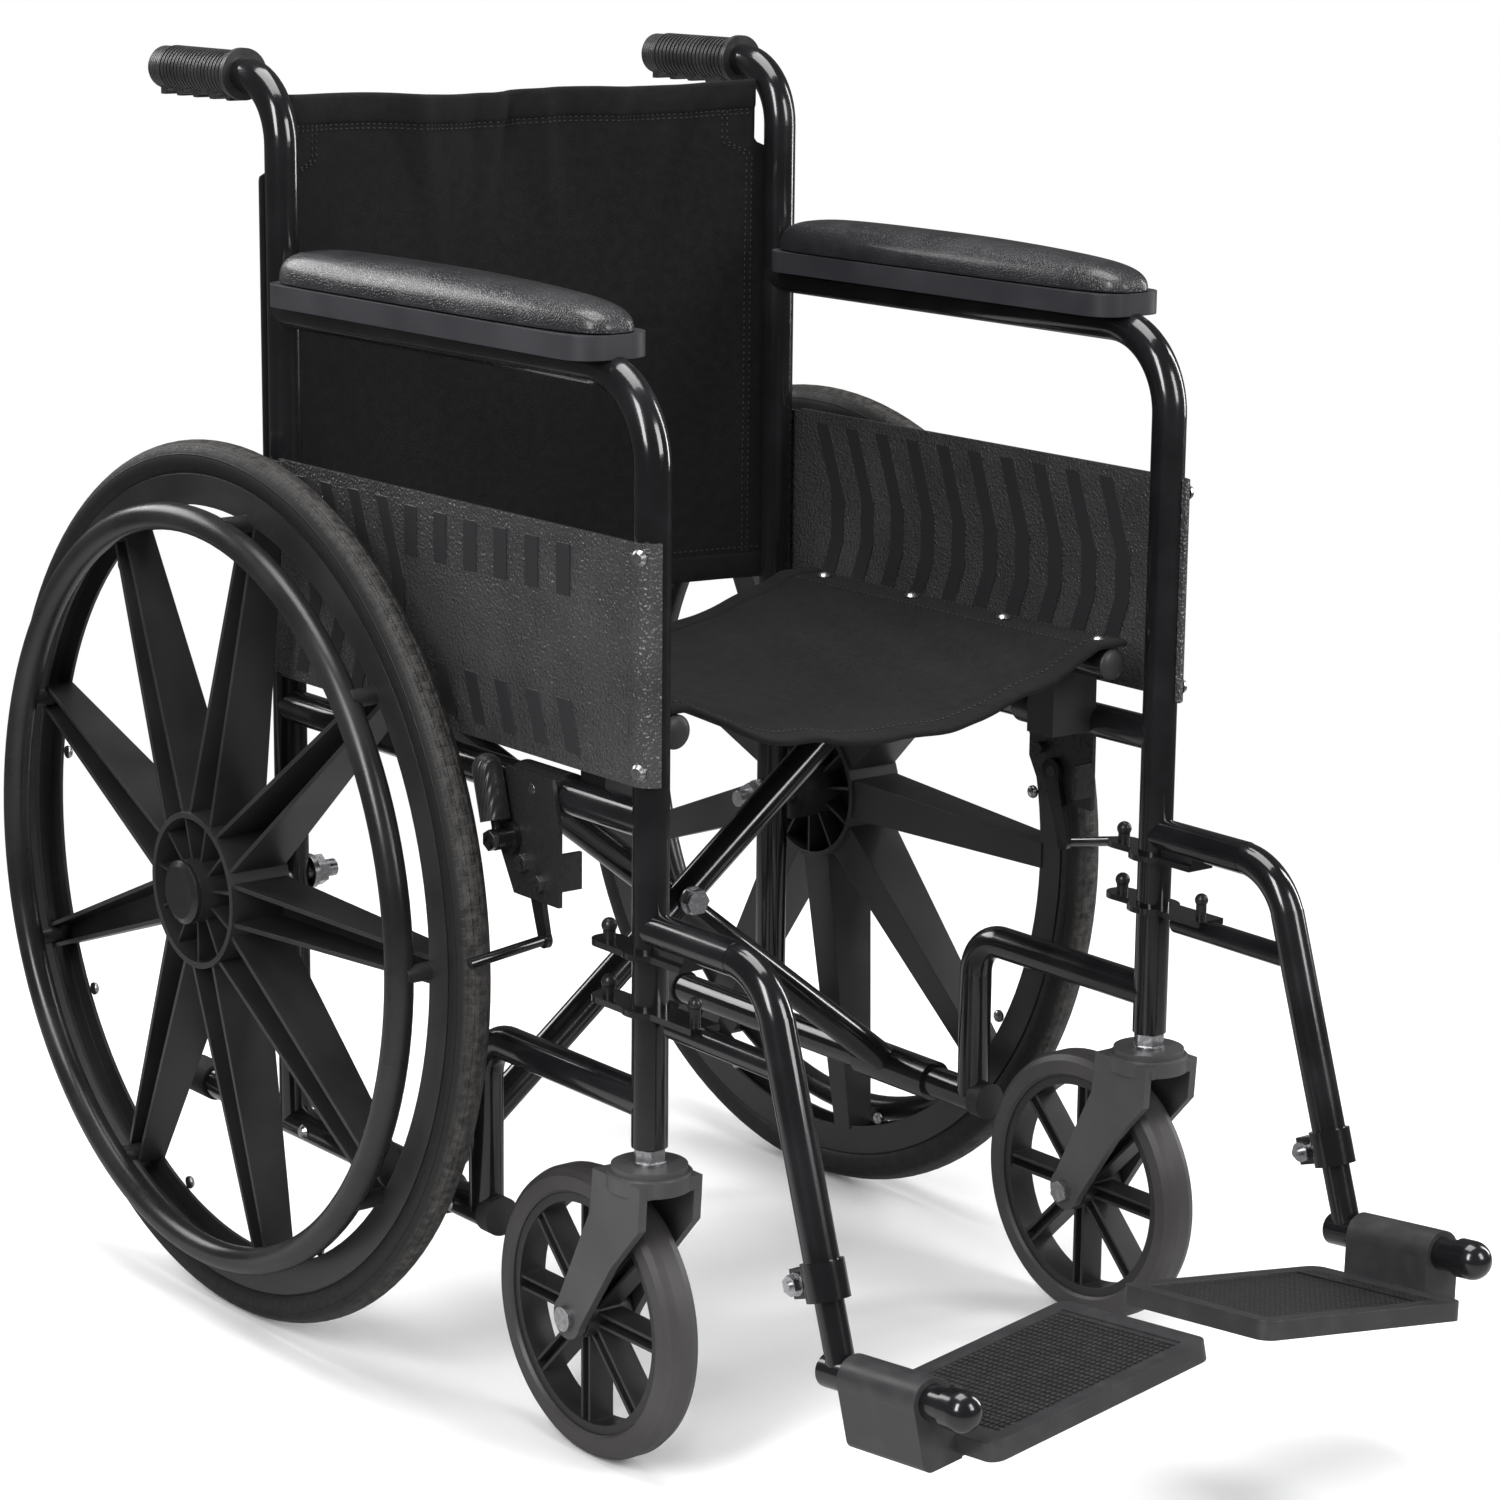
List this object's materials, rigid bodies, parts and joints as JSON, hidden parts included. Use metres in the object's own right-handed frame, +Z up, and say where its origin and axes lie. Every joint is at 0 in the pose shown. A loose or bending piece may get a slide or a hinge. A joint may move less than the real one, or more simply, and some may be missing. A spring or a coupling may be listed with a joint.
{
  "type": "manual wheelchair",
  "caption": "Folding manual wheelchair with spoked rear wheels and handrims, trailing front casters, sling seat and back, fixed arms, swing-away footrests and push-to-lock brakes.",
  "frame": {"origin": "on the floor, centred between the two sides and midway between the rear of the rear tyres and the front of the footrests", "axes": "+X towards the sitter's left, -Y towards the front, +Z up"},
  "size_m": [0.603, 1.0336, 0.8675],
  "materials": {
    "powder_coat": "glossy black powder coat on welded steel tube",
    "bracket_paint": "satin black paint on pressed steel",
    "zinc_steel": "bright zinc plated steel",
    "grip_rubber": "satin ribbed vinyl rubber",
    "cap_rubber": "matt black rubber",
    "arm_plastic": "satin blue-grey moulded plastic",
    "pad_vinyl": "soft black grained vinyl",
    "panel_plastic": "pebbled black plastic with smooth raised bars",
    "saddle_plastic": "plain dark grey plastic",
    "wheel_nylon": "satin black glass-filled nylon",
    "tyre_rubber": "solid grey-black rubber with fine mould seams",
    "handrim_plastic": "smooth satin black plastic",
    "hub_plastic": "fine matt dark grey plastic",
    "fork_plastic": "matt textured dark grey",
    "footplate_plastic": "moulded dark grey plastic with a fine raised grid",
    "sling_nylon": "black woven nylon"
  },
  "bodies": {
    "right_side": {"right_cane": "powder_coat", "right_arm_tube": "powder_coat", "right_rails": "powder_coat", "right_grip": "grip_rubber", "right_arm_base": "arm_plastic", "right_arm_pad": "pad_vinyl", "right_side_panel": "panel_plastic", "right_seat_saddles": "saddle_plastic", "right_axle": "zinc_steel", "right_rail_caps": "cap_rubber", "right_frame_screws": "zinc_steel", "right_brake_bracket": "bracket_paint", "back_upholstery": "sling_nylon"},
    "left_brace_body": {"rising_left_brace": "powder_coat", "brace_fasteners": "zinc_steel"},
    "right_brace_body": {"rising_right_brace": "powder_coat", "right_seat_screws": "zinc_steel", "seat_upholstery": "sling_nylon"},
    "left_side": {"left_cane": "powder_coat", "left_arm_tube": "powder_coat", "left_rails": "powder_coat", "left_grip": "grip_rubber", "left_arm_base": "arm_plastic", "left_arm_pad": "pad_vinyl", "left_side_panel": "panel_plastic", "left_seat_saddles": "saddle_plastic", "left_axle": "zinc_steel", "left_rail_caps": "cap_rubber", "left_frame_screws": "zinc_steel", "left_brake_bracket": "bracket_paint"},
    "right_rear_wheel": {"right_wheel": "wheel_nylon", "right_tyre": "tyre_rubber", "right_handrim": "handrim_plastic", "right_hub_cap": "hub_plastic"},
    "right_caster": {"right_caster_fork": "fork_plastic", "right_caster_bolts": "zinc_steel"},
    "right_caster_roller": {"right_caster_wheel": "wheel_nylon", "right_caster_tyre": "tyre_rubber"},
    "right_footrest_hanger": {"right_hanger": "powder_coat", "right_hanger_fittings": "zinc_steel"},
    "right_footrest": {"right_footrest_tube": "powder_coat"},
    "right_footplate_body": {"right_footplate": "footplate_plastic"},
    "right_brake_handle": {"right_brake_lever": "bracket_paint", "right_brake_grip": "grip_rubber"},
    "right_brake_arm": {"right_brake_shoe": "bracket_paint"},
    "left_rear_wheel": {"left_wheel": "wheel_nylon", "left_tyre": "tyre_rubber", "left_handrim": "handrim_plastic", "left_hub_cap": "hub_plastic"},
    "left_caster": {"left_caster_fork": "fork_plastic", "left_caster_bolts": "zinc_steel"},
    "left_caster_roller": {"left_caster_wheel": "wheel_nylon", "left_caster_tyre": "tyre_rubber"},
    "left_footrest_hanger": {"left_hanger": "powder_coat", "left_hanger_fittings": "zinc_steel"},
    "left_footrest": {"left_footrest_tube": "powder_coat"},
    "left_footplate_body": {"left_footplate": "footplate_plastic"},
    "left_brake_handle": {"left_brake_lever": "bracket_paint", "left_brake_grip": "grip_rubber"},
    "left_brake_arm": {"left_brake_shoe": "bracket_paint"}
  },
  "joints": [
    {"name": "fold", "type": "hinge", "parent": "right_side", "child": "left_brace_body", "pos_m": [-0.211, 0.05584, 0.127], "axis": [0, -1, 0], "range_deg": [0, 36], "deforming": ["seat_upholstery", "back_upholstery"]},
    {"name": "brace_scissor", "type": "hinge", "parent": "left_brace_body", "child": "right_brace_body", "pos_m": [0, 0.05584, 0.29225], "axis": [0, -1, 0], "range_deg": [-72, 0]},
    {"name": "left_side_hinge", "type": "hinge", "parent": "right_brace_body", "child": "left_side", "pos_m": [0.211, 0.05584, 0.127], "axis": [0, -1, 0], "range_deg": [0, 36]},
    {"name": "right_wheel_spin", "type": "hinge", "parent": "right_side", "child": "right_rear_wheel", "pos_m": [-0.259, 0.21183, 0.305], "axis": [1, 0, 0], "continuous": true},
    {"name": "right_caster_swivel", "type": "hinge", "parent": "right_side", "child": "right_caster", "pos_m": [-0.211, -0.20616, 0.2], "axis": [0, 0, 1], "continuous": true},
    {"name": "right_caster_spin", "type": "hinge", "parent": "right_caster", "child": "right_caster_roller", "pos_m": [-0.211, -0.15116, 0.095], "axis": [1, 0, 0], "continuous": true},
    {"name": "right_hanger_swing", "type": "hinge", "parent": "right_side", "child": "right_footrest_hanger", "pos_m": [-0.211, -0.20616, 0.33], "axis": [0, 0, -1], "range_deg": [0, 90]},
    {"name": "right_footrest_height", "type": "slide", "parent": "right_footrest_hanger", "child": "right_footrest", "axis": [0, -0.3156, -0.9489], "range_m": [-0.025, 0.04]},
    {"name": "right_footplate_flip", "type": "hinge", "parent": "right_footrest", "child": "right_footplate_body", "pos_m": [-0.211, -0.39792, 0.13027], "axis": [0, -0.9945, 0.1045], "range_deg": [0, 86.4]},
    {"name": "right_brake_throw", "type": "hinge", "parent": "right_side", "child": "right_brake_handle", "pos_m": [-0.2235, -0.07816, 0.392], "axis": [1, 0, 0], "range_deg": [0, 60]},
    {"name": "right_brake_squeeze", "type": "hinge", "parent": "right_side", "child": "right_brake_arm", "pos_m": [-0.22, -0.09216, 0.378], "axis": [1, 0, 0], "range_deg": [0, 6.1]},
    {"name": "left_wheel_spin", "type": "hinge", "parent": "left_side", "child": "left_rear_wheel", "pos_m": [0.259, 0.21183, 0.305], "axis": [1, 0, 0], "continuous": true},
    {"name": "left_caster_swivel", "type": "hinge", "parent": "left_side", "child": "left_caster", "pos_m": [0.211, -0.20616, 0.2], "axis": [0, 0, 1], "continuous": true},
    {"name": "left_caster_spin", "type": "hinge", "parent": "left_caster", "child": "left_caster_roller", "pos_m": [0.211, -0.15116, 0.095], "axis": [1, 0, 0], "continuous": true},
    {"name": "left_hanger_swing", "type": "hinge", "parent": "left_side", "child": "left_footrest_hanger", "pos_m": [0.211, -0.20616, 0.33], "axis": [0, 0, 1], "range_deg": [0, 90]},
    {"name": "left_footrest_height", "type": "slide", "parent": "left_footrest_hanger", "child": "left_footrest", "axis": [0, -0.3156, -0.9489], "range_m": [-0.025, 0.04]},
    {"name": "left_footplate_flip", "type": "hinge", "parent": "left_footrest", "child": "left_footplate_body", "pos_m": [0.211, -0.39792, 0.13027], "axis": [0, 0.9945, -0.1045], "range_deg": [0, 86.4]},
    {"name": "left_brake_throw", "type": "hinge", "parent": "left_side", "child": "left_brake_handle", "pos_m": [0.2235, -0.07816, 0.392], "axis": [1, 0, 0], "range_deg": [0, 60]},
    {"name": "left_brake_squeeze", "type": "hinge", "parent": "left_side", "child": "left_brake_arm", "pos_m": [0.22, -0.09216, 0.378], "axis": [1, 0, 0], "range_deg": [0, 6.1]}
  ],
  "couplings": [
    {"joint": "brace_scissor", "follows": "fold", "ratio": -2},
    {"joint": "left_side_hinge", "follows": "fold", "ratio": 1},
    {"joint": "right_footplate_flip", "follows": "fold", "ratio": 2.4},
    {"joint": "right_brake_squeeze", "follows": "right_brake_throw", "ratio": 0.1},
    {"joint": "left_footplate_flip", "follows": "fold", "ratio": 2.4},
    {"joint": "left_brake_squeeze", "follows": "left_brake_throw", "ratio": 0.1}
  ]
}
